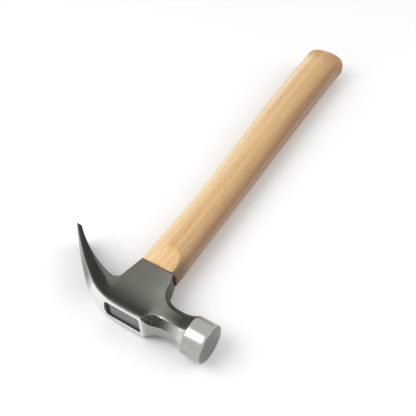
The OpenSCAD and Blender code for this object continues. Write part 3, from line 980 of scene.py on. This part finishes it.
def worn(n, tone, polish):
    """Breaks up a tone with grain, clouds and brushing, and sets the metal's shine."""
    grain = n.noise(n.place((1500, 1500, 1500)), 1.0, 3)
    cloud = n.noise(n.place((55, 80, 80)), 1.0, 5, 0.6)
    brush = n.noise(n.place((90, 1900, 1900)), 1.0, 3, 0.6)
    shade = n.math("ADD", n.math("MULTIPLY", grain, GRAIN_SHARE), n.math("MULTIPLY", cloud, CLOUD_SHARE))
    shade = n.math("ADD", shade, n.math("MULTIPLY", brush, BRUSH_SHARE))
    shade = n.math("ADD", shade, DARKEST)
    lit = n.blend(1.0, tone, n.grey(shade), "MULTIPLY")
    satin = n.math("ADD", n.math("MULTIPLY", grain, 0.1), SATIN_ROUGH)
    rough = n.math("SUBTRACT", satin, n.math("MULTIPLY", polish, POLISH_GAIN))
    n.set(Base_Color=lit, Roughness=rough)
    n.shader.inputs["Metallic"].default_value = 1.0
    n.bump(n.math("ADD", grain, n.math("MULTIPLY", brush, 0.6)), 0.05, 0.0002)


def forged_steel():
    """Satin cheeks and polished outer faces, with light specks and long scuffs, over the painted shade,
    highlights and reflections of the tone attribute.
    """
    n = Nodes("forged_steel")
    tone = n.attribute("tone", "Color")
    polish = n.attribute("polish", "Fac")
    speck = n.noise(n.place((1100, 1500, 1500)), 1.0, 2, 0.7)
    speck = n.ramp(speck, [(0.63, 0.0), (0.7, 1.0)])
    speck = n.math("MULTIPLY", speck, n.math("MULTIPLY", polish, 0.75))
    scuff = n.noise(n.place((120, 2600, 900), (0, 0, 0.5)), 1.0, 2, 0.4)
    scuff = n.math("MULTIPLY", n.ramp(scuff, [(0.68, 0.0), (0.76, 1.0)]), 0.22)
    marked = n.blend(scuff, n.blend(speck, tone, "#f2f1ec"), "#9a9a94")
    worn(n, marked, polish)
    return n.material


def bell_steel():
    """Polished steel with lengthwise painted reflection bands."""
    n = Nodes("bell_steel")
    x, d, z = from_point(n, (BELL_BACK, BELL_AXIS_D, 0))
    turn = n.math("ARCTAN2", z, n.math("MULTIPLY", d, -1.0))
    turn = n.math("MULTIPLY", turn, math.degrees(1))
    wave = n.noise(n.place((60, 12, 12)), 1.0, 2)
    turn = n.math("ADD", turn, n.math("MULTIPLY", n.math("SUBTRACT", wave, 0.5), WAVE_DEGREES))
    tone = grey_ramp(n, turn, BELL_REFLECTION_BANDS, -180, 180)
    ends = grey_ramp(n, x, BELL_REFLECTION_ALONG, 0, BELL_LEN * MM)
    worn(n, n.blend(1.0, tone, ends, "MULTIPLY"), 0.9)
    return n.material


def face_steel():
    # Painted reflection on the striking face: light near its top, darkest across the middle
    n = Nodes("face_steel")
    _, d, z = from_point(n, (FACE_REACH, BELL_AXIS_D, 0))
    lean = n.math("ADD", n.math("MULTIPLY", d, 1 / MM), n.math("MULTIPLY", z, FACE_LEAN))
    worn(n, grey_ramp(n, lean, FACE_REFLECTION_TONES, -FACE_HALF, FACE_HALF), 0.5)
    return n.material


def plain_steel(name, dark, light):
    n = Nodes(name)
    cloud = n.noise(n.place((300, 300, 300)), 1.0, 5, 0.65)
    worn(n, n.ramp(cloud, [(0.35, dark), (0.65, light)]), 0.1)
    return n.material


def grained(n, tone, strength):
    """Lengthwise grain, dark pores and short flecks over a wood tone."""
    grain = n.noise(n.place((420, 9, 420)), 1.0, 5, 0.6, 0.3)
    band = n.noise(n.place((150, 3, 150)), 1.0, 3, 0.5)
    fleck = n.noise(n.place((1500, 260, 1500)), 1.0, 3, 0.6)
    shade = n.ramp(grain, [(0.25, "#e0d6c4"), (0.5, "#f6f2ea"), (0.75, "#ffffff")])
    wide = n.ramp(band, [(0.3, "#e9dccb"), (0.55, "#ffffff")])
    pores = n.ramp(fleck, [(0.3, "#b09068"), (0.46, "#ffffff")])
    colour = n.blend(strength, tone, shade, "MULTIPLY")
    colour = n.blend(strength, colour, wide, "MULTIPLY")
    colour = n.blend(0.6 * strength, colour, pores, "MULTIPLY")
    n.set(Base_Color=colour, Roughness=n.math("ADD", n.math("MULTIPLY", grain, 0.18), 0.36))
    n.shader.inputs["Coat Weight"].default_value = 0.12
    n.shader.inputs["Coat Roughness"].default_value = 0.3
    n.bump(n.math("ADD", grain, n.math("MULTIPLY", fleck, 0.5)), 0.12, 0.0003)


def handle_wood():
    n = Nodes("hardwood")
    grained(n, n.attribute("tone", "Color"), 0.8)
    return n.material


def wedge_wood():
    n = Nodes("wedge_wood")
    cloud = n.noise(n.place((200, 30, 200)), 1.0, 4)
    grained(n, n.ramp(cloud, [(0.35, "#a98452"), (0.65, "#cba46d")]), 0.9)
    return n.material


# Levels of the eye's filling in metres from its middle: painted shade of a gap at the claw's end, painted
# shade along one side
EYE_GAP_SHADE = [(-0.0135, 30), (-0.0118, 60), (-0.0108, 255)]
EYE_FAR_SHADE = [(-0.0076, 90), (-0.0066, 150), (-0.0052, 235), (-0.003, 255)]
EYE_GAP_SHADE_REACH, EYE_FAR_SHADE_REACH = 0.0135, 0.0077


def eye_resin():
    """A dull blue-grey filling with a few dark specks, and painted shade at the claw's end and along one
    side.
    """
    n = Nodes("eye_resin")
    cloud = n.noise(n.place((160, 160, 160)), 1.0, 5, 0.6)
    speck = n.noise(n.place((900, 900, 900)), 1.0, 2, 0.6)
    base = n.ramp(cloud, [(0.3, "#64646b"), (0.5, "#74747a"), (0.7, "#828288")])
    dots = n.ramp(speck, [(0.28, "#3a3a3e"), (0.36, "#ffffff")])
    x, _, z = from_point(n, (0, 0, 0))
    gap_shade = grey_ramp(n, x, EYE_GAP_SHADE, -EYE_GAP_SHADE_REACH, EYE_GAP_SHADE_REACH)
    # far: painted shade along one side of the eye
    far = grey_ramp(n, z, EYE_FAR_SHADE, -EYE_FAR_SHADE_REACH, EYE_FAR_SHADE_REACH)
    for darker in (dots, gap_shade, far):
        base = n.blend(1.0, base, darker, "MULTIPLY")
    n.set(Base_Color=base, Roughness=n.math("ADD", n.math("MULTIPLY", cloud, 0.2), 0.45))
    n.bump(cloud, 0.3, 0.0005)
    return n.material


# ---------------------------------------------------------------- studio
CAMERA_AT = (170.688, -151.394, 360.417)
CAMERA_RIGHT = (0.845737, 0.533273, -0.018673)
CAMERA_UP = (-0.391492, 0.643899, 0.657365)
CAMERA_BACK = (0.362579, -0.548647, 0.753341)
LENS = 54.18
WORLD_STRENGTH = 0.68
FLOOR_HALF = 3.0
FLOOR_GREY = 0.9
FLOOR_DROP = 0.0002
# Each lamp's place, size and power
LAMPS = {
    "key": ((-0.5, -0.5, 0.9), 0.9, 6),
    "fill": ((0.8, 0.3, 0.7), 0.9, 3.5),
}


def show_white(tree, plain):
    """White to the camera, to glossy rays and to glass, and the plain background to all other light."""
    nodes, links = tree.nodes, tree.links
    path = nodes.new("ShaderNodeLightPath")
    seen = path.outputs["Is Camera Ray"]
    for ray in ("Is Glossy Ray", "Is Transmission Ray"):
        most = nodes.new("ShaderNodeMath")
        most.operation = "MAXIMUM"
        links.new(seen, most.inputs[0])
        links.new(path.outputs[ray], most.inputs[1])
        seen = most.outputs[0]
    white = nodes.new("ShaderNodeBackground")
    white.inputs["Color"].default_value = (1, 1, 1, 1)
    white.inputs["Strength"].default_value = 1.0
    pick_shader = nodes.new("ShaderNodeMixShader")
    links.new(seen, pick_shader.inputs[0])
    links.new(plain.outputs[0], pick_shader.inputs[1])
    links.new(white.outputs[0], pick_shader.inputs[2])
    return pick_shader


def build_world():
    world = bpy.data.worlds.new("studio")
    bpy.context.scene.world = world
    world.use_nodes = True
    tree = world.node_tree
    tree.nodes.clear()
    plain = tree.nodes.new("ShaderNodeBackground")
    plain.inputs["Color"].default_value = (1, 1, 1, 1)
    plain.inputs["Strength"].default_value = WORLD_STRENGTH
    out = tree.nodes.new("ShaderNodeOutputWorld")
    tree.links.new(show_white(tree, plain).outputs[0], out.inputs["Surface"])


def build_floor():
    corners = [(x * FLOOR_HALF, y * FLOOR_HALF, 0) for x, y in ((-1, -1), (1, -1), (1, 1), (-1, 1))]
    floor = mesh_object("studio_floor", corners, [(0, 1, 2, 3)])
    floor.location.z = CAD_BOX[0][2] - FLOOR_DROP
    material = bpy.data.materials.new("studio_floor")
    material.use_nodes = True
    shader = material.node_tree.nodes["Principled BSDF"]
    shader.inputs["Base Color"].default_value = (FLOOR_GREY, FLOOR_GREY, FLOOR_GREY, 1)
    shader.inputs["Roughness"].default_value = 0.9
    floor.data.materials.append(material)


def lamp(name, at, size, power):
    """A round soft lamp that points at the middle of the frame."""
    light = bpy.data.lights.new(name, "AREA")
    light.shape = "DISK"
    light.size = size
    light.energy = power
    obj = bpy.data.objects.new(name, light)
    bpy.context.scene.collection.objects.link(obj)
    obj.location = at
    obj.rotation_euler = (-Vector(at)).to_track_quat("-Z", "Y").to_euler()


def build_camera():
    data = bpy.data.cameras.new("camera")
    data.sensor_width = 36.0
    data.lens = LENS
    data.clip_start = 0.01
    camera = bpy.data.objects.new("camera", data)
    bpy.context.scene.collection.objects.link(camera)
    turn = Matrix([Vector(v) for v in (CAMERA_RIGHT, CAMERA_UP, CAMERA_BACK)]).transposed()
    camera.matrix_world = Matrix.Translation(place(CAMERA_AT)) @ turn.to_4x4()
    bpy.context.scene.camera = camera


# ---------------------------------------------------------------- the scene
build_camera()
build_world()
build_floor()
for lamp_name, (lamp_at, lamp_size, lamp_power) in LAMPS.items():
    lamp(lamp_name, lamp_at, lamp_size, lamp_power)

def dress(obj, materials):
    obj.data.materials.clear()
    for material in materials:
        obj.data.materials.append(material)


head = build_head()
dress(head, [forged_steel(), bell_steel(), face_steel()])
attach(head, "root")
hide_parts("hammer_head")

handle = build_handle()
dress(handle, [handle_wood()])
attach(handle, "root")
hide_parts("handle")

CARRIED = {
    "wooden_wedge": wedge_wood(),
    "steel_wedges": plain_steel("wedge_steel", "#55575a", "#707275"),
    "eye_seal": eye_resin(),
}
for node, material in CARRIED.items():
    dress(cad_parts[node], [material])

scene = bpy.context.scene
scene.view_settings.view_transform = "Standard"
